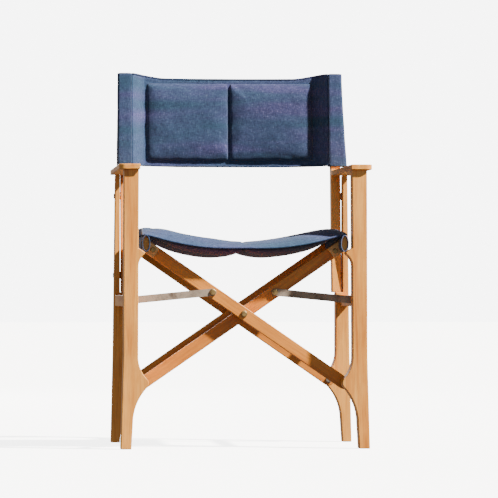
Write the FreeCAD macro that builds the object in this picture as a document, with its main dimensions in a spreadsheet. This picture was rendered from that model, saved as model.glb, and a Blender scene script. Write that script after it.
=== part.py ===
import FreeCAD, Part
import os
import math

# Folding director's chair: two wooden side frames joined by a front and a rear
# pair of crossed legs, two seat rails, a padded fabric seat and a fabric back.
# Frame: +Z up, the chair faces -Y, +X is to the right of someone looking at
# its front. The origin is on the floor at the centre of the bounding box.
# Millimetres throughout.

V = FreeCAD.Vector
doc = FreeCAD.newDocument("director_chair")

# ---------------------------------------------------------------- dimensions
dims = doc.addObject("Spreadsheet::Sheet", "Dims")
TABLE = [
    ("OriginY", 249.719),          # front face of the front legs to the origin
    ("CrossX", 231.0),           # lower cross-leg pivot from the mid plane
    ("CrossZ", 149.6),           # lower cross-leg pivot above the floor
    ("CentreZ", 309.0),          # centre pivot above the floor
    ("RailReach", 270.0),        # centre pivot to the rail bolt
    ("LinkReach", 88.0),         # centre pivot to the folding link's rivet
    ("LinkPostX", 251.0),        # folding link's post screw from the mid plane
    ("FoldAngle", 50.0),         # travel of the fold, degrees
    ("CrossWidth", 28.0),
    ("CrossThick", 18.0),
    ("FrontLegDepth", 44.0),
    ("RearLegDepth", 40.0),
    ("RearLegFront", 400.0),     # front face of the rear legs, from OriginY's zero
    ("CrossFrontA", 48.0),       # front face of the leg that carries the left rail
    ("CrossFrontB", 73.0),       # front face of the leg that carries the right rail
    ("ArmThick", 12.0),
    ("ArmBottomZ", 640.0),
    ("EdgeRound", 1.6),
    ("RailLength", 388.0),
    ("RailHalfWide", 7.0),
    ("RailHalfTall", 17.0),
    ("SleeveThick", 1.5),
    ("PostThick", 22.5),
    ("PostDepth", 32.0),
    ("PostFootZ", 359.0),
    ("PostTopZ", 885.0),
    ("PostLean", 0.0875),        # run back per unit of rise
    ("StretcherHigh", 26.0),
    ("StretcherThick", 18.0),
    ("BlockThick", 12.0),
    ("BlockWidth", 27.0),
    ("LinkThick", 3.0),
    ("LinkWidth", 17.0),
    ("PivotRadius", 4.0),
    ("RunClear", 0.05),          # radial running clearance
    ("HeadRadius", 7.5),
    ("HeadHigh", 3.6),
    ("ScrewRadius", 2.5),
    ("LinkPinRadius", 3.0),
    ("RivetHeadRadius", 7.5),
    ("BlockHeadRadius", 6.0),
    ("BackBottomZ", 662.0),
    ("BackPanelHigh", 218.0),
    ("BackPanelThick", 12.0),
    ("SeatDepth", 380.0),
]
for i, (alias, value) in enumerate(TABLE):
    dims.set("A%d" % (i + 1), alias)
    dims.set("B%d" % (i + 1), repr(value))
    dims.setAlias("B%d" % (i + 1), alias)
doc.recompute()
D = {alias: float(dims.get(alias)) for alias, _ in TABLE}

Y0 = D["OriginY"]
PX, PZ, CZ = D["CrossX"], D["CrossZ"], D["CentreZ"]
REACH_P = math.hypot(PX, CZ - PZ)             # lower pivot to centre pivot
PHI = math.atan2(CZ - PZ, PX)                 # slope of the open cross legs
MIRROR_Y = D["FrontLegDepth"] + D["RearLegFront"]   # y and MIRROR_Y - y match

# The folding link's post screw sits where the link's length is right both when
# the chair is open and when it is folded.
OFF = D["LinkPostX"] - PX
PHI2 = PHI + math.radians(D["FoldAngle"])
AMB, APB = REACH_P - D["LinkReach"], REACH_P + D["LinkReach"]
X1, Z1 = AMB * math.cos(PHI) + OFF, APB * math.sin(PHI)
X2, Z2 = AMB * math.cos(PHI2) + OFF, APB * math.sin(PHI2)
LINK_H = (X2 * X2 + Z2 * Z2 - X1 * X1 - Z1 * Z1) / (2.0 * (Z2 - Z1))
LINK_Z = PZ + LINK_H
LINK_LEN = math.hypot(X1, Z1 - LINK_H)
LINK_A0 = math.atan2(Z1 - LINK_H, X1)
LINK_A1 = math.atan2(Z2 - LINK_H, X2)

kept = []          # (object, node name)


def keep(obj, name):
    obj.Label = name
    kept.append((obj, name))
    return obj


def rot(xv, yv, zv):
    m = FreeCAD.Matrix(xv.x, yv.x, zv.x, 0, xv.y, yv.y, zv.y, 0,
                       xv.z, yv.z, zv.z, 0, 0, 0, 0, 1)
    return FreeCAD.Placement(m).Rotation


ROT_XZ = rot(V(1, 0, 0), V(0, 0, 1), V(0, -1, 0))     # drawn in x-z, pads to -Y
ROT_YZ = rot(V(0, 1, 0), V(0, 0, 1), V(1, 0, 0))      # drawn in y-z, pads to +X
ROT_XY = FreeCAD.Rotation()


def at(x, y, z, rotation):
    return FreeCAD.Placement(V(x, y - Y0, z), rotation)


def origin_plane(body, role):
    for f in body.Origin.OriginFeatures:
        if f.Role == role:
            return f
    raise RuntimeError("no plane " + role)


def new_sketch(body, name):
    sk = body.newObject("Sketcher::SketchObject", name)
    sk.AttachmentSupport = [(origin_plane(body, "XY_Plane"), "")]
    sk.MapMode = "FlatFace"
    return sk


def draw_path(sk, path):
    """path: points, or ("arc", mid, end) to reach the next point on an arc."""
    def p2(p):
        return V(p[0], p[1], 0)
    cur = path[0]
    for item in list(path[1:]) + [path[0]]:
        if item[0] == "arc":
            sk.addGeometry(Part.Arc(p2(cur), p2(item[1]), p2(item[2])), False)
            cur = item[2]
        else:
            if math.hypot(item[0] - cur[0], item[1] - cur[1]) > 1e-6:
                sk.addGeometry(Part.LineSegment(p2(cur), p2(item)), False)
            cur = item


def flip(path):
    """mirror a path in x, keeping the order of its points"""
    out = []
    for p in path:
        if p[0] == "arc":
            out.append(("arc", (-p[1][0], p[1][1]), (-p[2][0], p[2][1])))
        else:
            out.append((-p[0], p[1]))
    return out


def pad(body, sk, cell):
    doc.recompute()
    f = body.newObject("PartDesign::Pad", "Pad")
    f.Profile = sk
    f.setExpression("Length", "Dims." + cell)
    doc.recompute()
    return f


def soften(body, feature, cell="EdgeRound"):
    """small round on every edge of the padded board"""
    f = body.newObject("PartDesign::Fillet", "Round")
    f.Base = (feature, [""])
    f.UseAllEdges = True
    f.setExpression("Radius", "Dims." + cell)
    body.Tip = f
    doc.recompute()
    if "Invalid" in f.State or "Error" in f.State or f.Shape.isNull() or not f.Shape.isValid():
        body.removeObject(f)
        doc.removeObject(f.Name)
        body.Tip = feature
        doc.recompute()
        print("left square:", body.Label)
        return feature
    return f


def pocket(body, circles, depth=None, start=None):
    """round holes through (or into) the board along the pad direction"""
    before = body.Shape.Volume
    sk = new_sketch(body, "HoleSketch")
    if start is not None:
        sk.AttachmentOffset = FreeCAD.Placement(V(0, 0, start), FreeCAD.Rotation())
    for (cx, cy, r) in circles:
        sk.addGeometry(Part.Circle(V(cx, cy, 0), V(0, 0, 1), r), False)
    doc.recompute()
    f = body.newObject("PartDesign::Pocket", "Holes")
    f.Profile = sk
    f.Reversed = True
    if depth is None:
        f.Type = "ThroughAll"
    else:
        f.Type = "Length"
        f.Length = depth
    body.Tip = f
    doc.recompute()
    if before - body.Shape.Volume < 1.0:
        raise RuntimeError("hole cuts nothing in " + body.Label)
    return f


def board(name, path, cell, placement, round_cell="EdgeRound", holes=None):
    body = doc.addObject("PartDesign::Body", name)
    body.Label = name
    sk = new_sketch(body, "Outline")
    draw_path(sk, path)
    f = pad(body, sk, cell)
    if round_cell:
        f = soften(body, f, round_cell)
    for h in holes or []:
        pocket(body, *h)
    body.Placement = placement
    doc.recompute()
    return body


def cyl(name, radius_cell, height, x, y, z, direction, extra=0.0):
    c = doc.addObject("Part::Cylinder", name)
    c.setExpression("Radius", "Dims.%s + %g" % (radius_cell, extra))
    c.Height = height
    c.Placement = FreeCAD.Placement(V(x, y - Y0, z), FreeCAD.Rotation(V(0, 0, 1), direction))
    return c


def ring(name, inner_cell, inner_extra, outer_cell, outer_extra, height, x, y, z, direction):
    big = cyl(name + "_o", outer_cell, height, x, y, z, direction, outer_extra)
    small = cyl(name + "_i", inner_cell, height + 2, x, y, z, direction, inner_extra)
    small.Placement.Base = small.Placement.Base - direction * 1.0
    c = doc.addObject("Part::Cut", name)
    c.Base, c.Tool = big, small
    return c


def fuse(name, items):
    f = doc.addObject("Part::MultiFuse", name)
    f.Shapes = items
    doc.recompute()
    return f


def group(name, items):
    g = doc.addObject("Part::Compound", name)
    g.Links = items
    doc.recompute()
    return keep(g, name)


YP, YN, XP, XN = V(0, 1, 0), V(0, -1, 0), V(1, 0, 0), V(-1, 0, 0)


def dome_bolt(name, radius_cell, shank, x, y, z, direction, head_cell="HeadRadius", head=None):
    """round-headed bolt: head from the point (x, y, z) outward, shank inward along direction"""
    head = head or D["HeadHigh"]
    s = cyl(name + "_shank", radius_cell, shank, x, y, z, direction)
    back = V(x, y, z) - direction * head
    h = doc.addObject("Part::Cylinder", name + "_head")
    h.setExpression("Radius", "Dims." + head_cell)
    h.Height = head
    h.Placement = FreeCAD.Placement(V(back.x, back.y - Y0, back.z), FreeCAD.Rotation(V(0, 0, 1), direction))
    doc.recompute()
    r = doc.addObject("Part::Fillet", name + "_dome")
    r.Base = h
    edges = []
    for i, e in enumerate(h.Shape.Edges):
        if len(e.Vertexes) == 1 and (e.CenterOfMass - V(back.x, back.y - Y0, back.z)).Length < 0.5:
            edges.append((i + 1, head * 0.6, head * 0.6))
    r.Edges = edges
    doc.recompute()
    return fuse(name, [s, r])


def mirror_y(y):
    return MIRROR_Y - y



for side, s in (("left", -1), ("right", 1)):
    fl = (lambda p: p) if s < 0 else flip

    # front leg, drawn for the left side: straight outside edge that spreads at
    # the foot, a small nose under the seat rail and a flare at the lower pivot
    front = fl([(-286, 0), (-262, 0), (-258.5, 60),
                ("arc", (-248, 108), (-228, 139)),
                ("arc", (-222.6, 150), (-227, 161)),
                ("arc", (-241.5, 184), (-246.5, 214)),
                (-246, 418),
                ("arc", (-242, 434), (-231.5, 446)),
                (-230.5, 449.5), (-246, 460),
                (-245, 640), (-279, 640), (-280, 214)])
    lx = s * PX
    leg = board("front_leg_" + side, front, "FrontLegDepth",
                at(0, D["FrontLegDepth"], 0, ROT_XZ),
                holes=[([(lx, PZ, D["PivotRadius"])], 32.0),
                       ([(s * D["LinkPostX"], LINK_Z, D["LinkPinRadius"])], 22.0)])
    keep(leg, "front_leg_" + side)

    # rear leg: full width below the side stretcher, a thin outer strip above it
    rear = fl([(-289, 0), (-268, 0), (-264, 60),
               ("arc", (-251, 108), (-228, 139)),
               ("arc", (-222.6, 150), (-227, 161)),
               ("arc", (-244, 184), (-251, 216)),
               (-251, D["PostFootZ"]), (-268, D["PostFootZ"]),
               (-268, 640), (-279, 640), (-284, 220)])
    rleg = board("rear_leg_" + side, rear, "RearLegDepth",
                 at(0, D["RearLegFront"] + D["RearLegDepth"], 0, ROT_XZ),
                 holes=[([(lx, PZ, D["PivotRadius"])], 32.0, D["RearLegDepth"] - 32.0)])
    keep(rleg, "rear_leg_" + side)

    # back post: leaning board that stands on the rear leg's step
    yb, zb, zt, lean = 403.0, D["PostFootZ"], D["PostTopZ"], D["PostLean"]
    run = (zt - zb) * lean
    post_path = [(yb, zb), (yb + D["PostDepth"], zb), (yb + D["PostDepth"] + run, zt), (yb + run, zt)]
    post_x = -265.0 if s < 0 else 242.5
    post = board("back_post_" + side, post_path, "PostThick", at(post_x, 0, 0, ROT_YZ))
    # bolts cross the thin strip, the spacer and the post
    strip_bolts = [(421.0, 400.0), (432.0, 590.0)]

    def strip_out(z):
        # outer face of the strip under a bolt head
        return 284.0 - 5.0 * (z - 6.0 - 220.0) / 420.0 + 0.02

    def cut_cross(base, name, r_extra=0.0):
        tools = [cyl(name + "_bore%d" % k, "LinkPinRadius", 60.0, s * 247.0, by, bz, XP if s > 0 else XN, r_extra)
                 for k, (by, bz) in enumerate(strip_bolts)]
        c = doc.addObject("Part::Cut", name)
        c.Base, c.Tool = base, fuse(name + "_bores", tools)
        doc.recompute()
        return c
    kept.pop()                                   # the drilled pieces replace these
    keep(cut_cross(rleg, "rear_leg_drilled_" + side), "rear_leg_" + side)
    keep(cut_cross(post, "back_post_drilled_" + side), "back_post_" + side)
    rleg.Label = "rear_leg_blank_" + side
    post.Label = "back_post_blank_" + side

    out = XN if s < 0 else XP
    inn = XP if s < 0 else XN
    group("back_post_bolts_" + side,
          [dome_bolt("post_bolt_%s_%d" % (side, k), "LinkPinRadius", strip_out(bz) - 247.0,
                     s * strip_out(bz), by, bz, inn, "BlockHeadRadius", 2.0)
           for k, (by, bz) in enumerate(strip_bolts)])
    group("back_post_spacers_" + side,
          [ring("post_spacer_%s_%d" % (side, k), "LinkPinRadius", 0.0, "HeadRadius", 1.0, 3.0,
                s * 265.0, by, bz, out) for k, (by, bz) in enumerate(strip_bolts)])

    # armrest: flat board over the front leg and the rear leg's strip
    arm = fl([(-242, -8), (-242, 427.2), (-290, 427.2), (-291, 7),
              ("arc", (-286.6, -3.6), (-276, -8))])
    armrest = board("armrest_" + side, arm, "ArmThick", at(0, 0, D["ArmBottomZ"], ROT_XY), "EdgeRound",
                    holes=[([(s * 262, 14, 2.5), (s * 262, 32, 2.5), (s * 273.5, 412, 2.5)], None)])
    keep(armrest, "armrest_" + side)
    group("armrest_plugs_" + side,
          [cyl("arm_plug_%s_%d" % (side, k), "ScrewRadius", 11.6, x, y, 640.0, V(0, 0, 1))
           for k, (x, y) in enumerate(((s * 262, 14), (s * 262, 32), (s * 273.5, 412)))])

    # side stretcher between the front and rear legs
    sx0 = -280.0 if s < 0 else 262.0
    st = board("side_stretcher_" + side,
               [(44, 326), (400, 326), (400, 352), (44, 352)], "StretcherThick",
               at(sx0, 0, 0, ROT_YZ))
    keep(st, "side_stretcher_" + side)

    # lower pivot bolts: blind in the legs, head behind the cross leg
    if s < 0:
        near, head_y = D["CrossFrontB"], D["CrossFrontB"] + D["CrossThick"] + 0.2
    else:
        near, head_y = D["CrossFrontA"], D["CrossFrontA"] + D["CrossThick"] + 0.2
    shank = head_y - 12.0
    group("lower_pivot_bolts_" + side,
          [dome_bolt("pivot_f_" + side, "PivotRadius", shank, lx, head_y, PZ, YN),
           dome_bolt("pivot_r_" + side, "PivotRadius", shank, lx, mirror_y(head_y), PZ, YP)])
    gap = near - 0.2 - D["FrontLegDepth"]
    group(("pivot_spacers_" if s < 0 else "pivot_washers_") + side,
          [ring("pspacer_f_" + side, "PivotRadius", 0.0, "HeadRadius", 0.5, gap, lx, 44.0, PZ, YP),
           ring("pspacer_r_" + side, "PivotRadius", 0.0, "HeadRadius", 0.5, gap, lx, mirror_y(44.0), PZ, YN)])

    # folding link: flat metal bar; the right one is cranked forward at its post
    ly = 44.5 if s < 0 else 69.5
    hw = D["LinkWidth"] / 2.0
    ang = LINK_A0
    if s < 0:
        path = [(0, -hw), (LINK_LEN, -hw), ("arc", (LINK_LEN + hw, 0), (LINK_LEN, hw)), (0, hw),
                ("arc", (-hw, 0), (0, -hw))]
        xv = V(math.cos(ang), 0, math.sin(ang))
        link = board("fold_link_left", path, "LinkThick",
                     at(s * D["LinkPostX"], ly + D["LinkThick"], LINK_Z,
                        rot(xv, V(-math.sin(ang), 0, math.cos(ang)), V(0, -1, 0))),
                     None, holes=[([(0, 0, D["LinkPinRadius"] + D["RunClear"]),
                                    (LINK_LEN, 0, D["LinkPinRadius"])], None)])
        keep(link, "fold_link_left")
    else:
        # plan outline of the cranked bar, then trimmed to the rounded side outline
        tk = D["LinkThick"]
        near_y, far_y = 44.5, 69.5
        plan = [(-hw, near_y), (14, near_y), (34, far_y), (LINK_LEN + hw, far_y),
                (LINK_LEN + hw, far_y + tk), (32.6, far_y + tk), (12.6, near_y + tk), (-hw, near_y + tk)]
        xv = V(-math.cos(ang), 0, math.sin(ang))
        crank = doc.addObject("PartDesign::Body", "link_crank")
        sk = new_sketch(crank, "Plan")
        draw_path(sk, [(px, py) for px, py in plan])
        doc.recompute()
        pf = crank.newObject("PartDesign::Pad", "Pad")
        pf.Profile = sk
        pf.setExpression("Length", "Dims.LinkWidth")
        pf.Midplane = True
        doc.recompute()
        # local x along the bar, local y = world +Y, local z completes the frame
        lz = xv.cross(V(0, 1, 0))
        crank.Placement = at(D["LinkPostX"], 0, LINK_Z, rot(xv, V(0, 1, 0), lz))
        outline = [(0, -hw), (LINK_LEN, -hw), ("arc", (LINK_LEN + hw, 0), (LINK_LEN, hw)), (0, hw),
                   ("arc", (-hw, 0), (0, -hw))]
        trim = doc.addObject("PartDesign::Body", "link_outline")
        sk = new_sketch(trim, "Side")
        draw_path(sk, outline)
        doc.recompute()
        pf = trim.newObject("PartDesign::Pad", "Pad")
        pf.Profile = sk
        pf.Length = 60.0
        doc.recompute()
        pocket(trim, [(0, 0, D["LinkPinRadius"] + D["RunClear"]), (LINK_LEN, 0, D["LinkPinRadius"])])
        trim.Placement = at(D["LinkPostX"], 85.0, LINK_Z, rot(xv, V(0, -1, 0).cross(xv), V(0, -1, 0)))
        doc.recompute()
        com = doc.addObject("Part::Common", "link_right")
        com.Base, com.Tool = crank, trim
        doc.recompute()
        keep(com, "fold_link_right")
        link = com
    # post screw in the side frame
    s1 = dome_bolt("link_screw_" + side, "LinkPinRadius", 25.7, s * D["LinkPostX"], 47.7, LINK_Z, YN, "HeadRadius", 3.0)
    keep(s1, "link_post_screw_" + side)
    # rivet in the link's free end; it stops flush with the bar's back
    rx = s * (D["LinkPostX"] - X1)
    rz = LINK_Z + (Z1 - LINK_H)
    riv = dome_bolt("link_riv_" + side, "LinkPinRadius", D["LinkThick"], rx, ly, rz, YP, "RivetHeadRadius", 3.0)
    keep(riv, "link_rivet_" + side)

    # back cover sleeve on its post
    yb0 = yb + (D["BackBottomZ"] - zb) * lean
    top = zt + 2.0
    rise = top - D["BackBottomZ"]
    sy0, sy1 = yb0 - 2.5, yb0 + D["PostDepth"] + 2.5

    def leaning(name, x0, x1, ya, yb_, z0, z1):
        b = doc.addObject("PartDesign::Body", name)
        sk_ = new_sketch(b, "Side")
        r_ = (z1 - z0) * lean
        draw_path(sk_, [(ya, z0), (yb_, z0), (yb_ + r_, z1), (ya + r_, z1)])
        doc.recompute()
        p_ = b.newObject("PartDesign::Pad", "Pad")
        p_.Profile = sk_
        p_.Length = x1 - x0
        doc.recompute()
        b.Placement = at(x0, 0, 0, ROT_YZ)
        doc.recompute()
        return b
    ox0, ox1 = (-270.0, -238.0) if s < 0 else (238.0, 270.0)
    ix0, ix1 = (-268.5, -239.5) if s < 0 else (239.5, 268.5)
    outer = leaning("back_sleeve_outer_" + side, ox0, ox1, sy0, sy1, D["BackBottomZ"], top)
    inner = leaning("back_sleeve_inner_" + side, ix0, ix1, sy0 + 1.5 - 5 * lean, sy1 - 1.5 - 5 * lean,
                    D["BackBottomZ"] - 5, zt + 0.5)
    c = doc.addObject("Part::Cut", "back_sleeve_cut_" + side)
    c.Base, c.Tool = outer, inner
    doc.recompute()
    keep(c, "back_sleeve_" + side)

# ------------------------------------------------------------- crossed legs
hwid = D["CrossWidth"] / 2.0
tip_p = REACH_P
tip_q = D["RailReach"] + 6.0
# outline along the leg: the centre pivot at 0, lower end on the minus side
leg_path = [(-tip_p, -hwid), (tip_q, -hwid), (tip_q, hwid), (-tip_p, hwid),
            ("arc", (-tip_p - hwid, 0), (-tip_p, -hwid))]
RAIL_DX, RAIL_DZ = 6.0, 8.0         # rail centre outboard of and above the rail bolt
QX, QZ = D["RailReach"] * math.cos(PHI), CZ + D["RailReach"] * math.sin(PHI)


def ellipse_body(name, a_tall, a_wide, hole, length_cell, placement):
    b = doc.addObject("PartDesign::Body", name)
    sk_ = new_sketch(b, "Section")
    sk_.addGeometry(Part.Ellipse(V(0, a_tall, 0), V(a_wide, 0, 0), V(0, 0, 0)), False)
    if hole:
        sk_.addGeometry(Part.Ellipse(V(0, hole[0], 0), V(hole[1], 0, 0), V(0, 0, 0)), False)
    pad(b, sk_, length_cell)
    b.Placement = placement
    doc.recompute()
    return b


for side, s in (("left", -1), ("right", 1)):
    # the leg that carries the left rail runs from the top left to the bottom
    # right; the other one is its mirror image in the layer behind
    yf = D["CrossFrontA"] if s < 0 else D["CrossFrontB"]
    xv = V(s * math.cos(PHI), 0, math.sin(PHI))
    zv = V(0, -1, 0)
    yv = zv.cross(xv)
    rr = rot(xv, yv, zv)
    # rail
    rcx, rcz = s * (QX + RAIL_DX), QZ + RAIL_DZ
    rail_y1 = 14.0 + D["RailLength"]
    rail = ellipse_body("seat_rail_" + side, D["RailHalfTall"], D["RailHalfWide"], None,
                        "RailLength", at(rcx, rail_y1, rcz, ROT_XZ))
    keep(rail, "seat_rail_" + side)

    free = 0.0 if s > 0 else D["RunClear"]          # the centre bolt turns in the left rail's legs
    rp = D["PivotRadius"]
    for pos in ("front", "rear"):
        y_back = yf + D["CrossThick"] if pos == "front" else mirror_y(yf)
        blank = board("cross_%s_%s" % (side, pos), leg_path, "CrossThick",
                      at(0, y_back, CZ, rr),
                      holes=[([(0, 0, rp + free), (-tip_p, 0, rp + D["RunClear"]),
                               (D["RailReach"] - 13.0, -1.0, D["LinkPinRadius"])], None)])
        c = doc.addObject("Part::Cut", "cross_cut_%s_%s" % (side, pos))
        c.Base, c.Tool = blank, rail
        doc.recompute()
        keep(c, "cross_leg_%s_rail_%s" % (side, pos))
        # rail block: short cheek on the outer face of the leg's top end
        bd0, bd1, bw = 246.0, 277.0, D["BlockWidth"] / 2.0
        bpath = [(bd0, -bw), (bd1, -bw), (bd1, bw), (bd0, bw)]
        if pos == "front":
            by_back = yf
        else:
            by_back = mirror_y(yf) + D["BlockThick"]
        blk = board("block_%s_%s" % (side, pos), bpath, "BlockThick", at(0, by_back, CZ, rr),
                    holes=[([(D["RailReach"] - 13.0, -1.0, D["LinkPinRadius"])], None)])
        c = doc.addObject("Part::Cut", "block_cut_%s_%s" % (side, pos))
        c.Base, c.Tool = blk, rail
        doc.recompute()
        keep(c, "rail_block_%s_%s" % (side, pos))
    # rail block bolts
    bx = V(0, 0, CZ) + xv * (D["RailReach"] - 13.0) + yv * -1.0
    bl = D["BlockThick"] + D["CrossThick"]
    group("rail_block_bolts_" + side,
          [dome_bolt("rbolt_f_" + side, "LinkPinRadius", bl, bx.x, yf - D["BlockThick"], bx.z, YP, "BlockHeadRadius", 3.0),
           dome_bolt("rbolt_r_" + side, "LinkPinRadius", bl, bx.x, mirror_y(yf - D["BlockThick"]), bx.z, YN, "BlockHeadRadius", 3.0)])
    # seat sleeve round the rail, open where the legs reach the rail
    slv = ellipse_body("seat_sleeve_ring_" + side, D["RailHalfTall"] + D["SleeveThick"],
                       D["RailHalfWide"] + D["SleeveThick"], (D["RailHalfTall"], D["RailHalfWide"]),
                       "SeatDepth", at(rcx, 20.0 + D["SeatDepth"], rcz, ROT_XZ))
    tools = []
    for pos in ("front", "rear"):
        t = doc.addObject("Part::Box", "sleeve_notch_%s_%s" % (side, pos))
        t.Length, t.Width, t.Height = 44.0, 32.0, 45.0
        y0 = yf - 13.0 if pos == "front" else mirror_y(yf + 19.0)
        t.Placement = at(rcx - 22.0, y0, rcz - 35.0, ROT_XY)
        tools.append(t)
    c = doc.addObject("Part::Cut", "seat_sleeve_cut_" + side)
    c.Base, c.Tool = slv, fuse("sleeve_notches_" + side, tools)
    doc.recompute()
    keep(c, "seat_sleeve_" + side)

# centre pivot bolts with nuts and spacer washers
ya, yb2 = D["CrossFrontA"], D["CrossFrontB"]
head_at = ya - 0.2
shank = yb2 + D["CrossThick"] + 6.0 - head_at
group("centre_bolts",
      [dome_bolt("cbolt_f", "PivotRadius", shank, 0, head_at, CZ, YP),
       dome_bolt("cbolt_r", "PivotRadius", shank, 0, mirror_y(head_at), CZ, YN)])


def nut(name, y, direction):
    n = doc.addObject("Part::Prism", name + "_hex")
    n.Polygon = 6
    n.Circumradius = 7.5
    n.Height = 5.0
    n.Placement = FreeCAD.Placement(V(0, y - Y0, CZ), FreeCAD.Rotation(V(0, 0, 1), direction))
    b = cyl(name + "_bore", "PivotRadius", 7.0, 0, y - direction.y, CZ, direction)
    c = doc.addObject("Part::Cut", name)
    c.Base, c.Tool = n, b
    doc.recompute()
    return c


yn = yb2 + D["CrossThick"]
group("centre_nuts", [nut("cnut_f", yn, YP), nut("cnut_r", mirror_y(yn), YN)])
wgap = yb2 - (ya + D["CrossThick"]) - 0.2
group("centre_washers",
      [ring("cwash_f", "PivotRadius", 0.0, "HeadRadius", 1.0, wgap, 0, yb2, CZ, YN),
       ring("cwash_r", "PivotRadius", 0.0, "HeadRadius", 1.0, wgap, 0, mirror_y(yb2), CZ, YP)])

# ---------------------------------------------------------------- soft parts
# padded seat: sags between the rails, thickest in its two lobes
seat_half_top = [(236, 499), (228, 502), (150, 490), (70, 478), (0, 474)]
seat_half_bot = [(0, 450), (46, 447), (120, 457), (185, 474), (205, 486), (216, 489.4), (236, 489.4)]
seat_path = ([(-x, z) for x, z in seat_half_bot[::-1]] + [(x, z) for x, z in seat_half_bot[1:]]
             + [(x, z) for x, z in seat_half_top] + [(-x, z) for x, z in seat_half_top[:-1]][::-1])
seat = board("seat_pad", seat_path, "SeatDepth", at(0, 20.0 + D["SeatDepth"], 0, ROT_XZ), None)
keep(seat, "seat_pad")

# back panel: fabric that runs back from the sleeves and across, as a leaning slab
yb0 = 403.0 + (D["BackBottomZ"] + 1 - D["PostFootZ"]) * D["PostLean"]
half_front = [(237.6, yb0 + 2), (208, yb0 + 38), (0, yb0 + 48)]
tk = D["BackPanelThick"]
half_back = [(0, yb0 + 48 + tk), (212, yb0 + 38 + tk), (237.6, yb0 + 17)]
plan = ([(-x, y) for x, y in half_front] + [(x, y) for x, y in half_front[:-1][::-1]]
        + [(x, y) for x, y in half_back[::-1]] + [(-x, y) for x, y in half_back[1:]])
panel = doc.addObject("PartDesign::Body", "back_panel_body")
sk = new_sketch(panel, "Plan")
draw_path(sk, plan)
doc.recompute()
pf = panel.newObject("PartDesign::Pad", "Pad")
pf.Profile = sk
pf.UseCustomVector = True
pf.Direction = V(0, D["PostLean"], 1)
pf.AlongSketchNormal = True
pf.setExpression("Length", "Dims.BackPanelHigh")
doc.recompute()
panel.Placement = at(0, 0, D["BackBottomZ"] + 1, ROT_XY)
doc.recompute()
keep(panel, "back_panel")

# --------------------------------------------------------------- check, write
doc.recompute()
bad = []
for o in doc.Objects:
    if "Invalid" in o.State or "Error" in o.State:
        bad.append((o.Name, o.State))
box = FreeCAD.BoundBox()
for o, name in kept:
    sh = o.Shape
    if sh.isNull() or not sh.isValid() or not sh.Solids:
        bad.append((name, "shape"))
    box.add(sh.BoundBox)
if bad:
    raise RuntimeError("failed objects: %r" % bad)
os.makedirs("parts", exist_ok=True)
for o, name in kept:
    o.Shape.exportStep("parts/%s.step" % name)
print("nodes", len(kept))
print("box", box)
print("PHI %.4f REACH_P %.4f LINK_Z %.4f LINK_LEN %.4f A0 %.4f A1 %.4f ratio %.5f" % (
    math.degrees(PHI), REACH_P, LINK_Z, LINK_LEN, math.degrees(LINK_A0), math.degrees(LINK_A1),
    (LINK_A1 - LINK_A0) / math.radians(D["FoldAngle"])))
print("P", PX, PZ, "C", CZ, "rivet", D["LinkPostX"] - X1, LINK_Z + Z1 - LINK_H, "rail", QX + 6, QZ + 8)
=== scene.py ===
import bpy, bmesh, math
from mathutils import Vector, Matrix, noise


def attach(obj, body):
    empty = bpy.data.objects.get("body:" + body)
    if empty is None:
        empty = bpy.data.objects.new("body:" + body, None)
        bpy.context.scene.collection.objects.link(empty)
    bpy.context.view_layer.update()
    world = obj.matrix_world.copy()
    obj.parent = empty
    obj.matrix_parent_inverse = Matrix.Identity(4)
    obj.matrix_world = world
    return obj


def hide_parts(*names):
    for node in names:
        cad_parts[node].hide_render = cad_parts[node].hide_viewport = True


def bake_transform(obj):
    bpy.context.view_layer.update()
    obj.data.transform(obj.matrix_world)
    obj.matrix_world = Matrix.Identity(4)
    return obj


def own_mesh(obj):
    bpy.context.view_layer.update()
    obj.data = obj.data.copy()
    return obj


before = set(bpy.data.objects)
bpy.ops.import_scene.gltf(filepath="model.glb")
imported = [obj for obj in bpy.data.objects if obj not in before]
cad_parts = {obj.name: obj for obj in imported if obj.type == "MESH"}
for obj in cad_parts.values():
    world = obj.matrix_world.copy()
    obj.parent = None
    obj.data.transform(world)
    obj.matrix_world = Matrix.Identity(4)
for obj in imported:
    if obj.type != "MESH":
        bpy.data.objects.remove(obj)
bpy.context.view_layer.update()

Y0 = 249.719            # mm from the front face of the front legs to the origin
LEAN = 0.0875


def W(x, y, z):
    return Vector((x / 1000.0, (y - Y0) / 1000.0, z / 1000.0))


# ------------------------------------------------------------------ materials
def mat(name):
    m = bpy.data.materials.new(name)
    m.use_nodes = True
    nt = m.node_tree
    nt.nodes.clear()
    out = nt.nodes.new("ShaderNodeOutputMaterial")
    b = nt.nodes.new("ShaderNodeBsdfPrincipled")
    nt.links.new(b.outputs[0], out.inputs[0])
    return m, nt, b


def node(nt, kind, **kw):
    n = nt.nodes.new(kind)
    for k, v in kw.items():
        if k in n.inputs:
            n.inputs[k].default_value = v
        else:
            setattr(n, k, v)
    return n


def coords(nt, rot=(0, 0, 0), scale=(1, 1, 1), loc=(0, 0, 0)):
    tc = node(nt, "ShaderNodeTexCoord")
    r = node(nt, "ShaderNodeMapping")
    r.inputs["Rotation"].default_value = rot
    nt.links.new(tc.outputs["Object"], r.inputs[0])
    s = node(nt, "ShaderNodeMapping")
    s.inputs["Scale"].default_value = scale
    s.inputs["Location"].default_value = loc
    nt.links.new(r.outputs[0], s.inputs[0])
    return s.outputs[0], r.outputs[0], tc.outputs["Object"]


def ramp(nt, stops, interp="LINEAR"):
    r = nt.nodes.new("ShaderNodeValToRGB")
    r.color_ramp.interpolation = interp
    e = r.color_ramp.elements
    e[0].position, e[0].color = stops[0][0], (*stops[0][1], 1)
    e[1].position, e[1].color = stops[-1][0], (*stops[-1][1], 1)
    for p, c in stops[1:-1]:
        x = e.new(p)
        x.color = (*c, 1)
    return r


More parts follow.
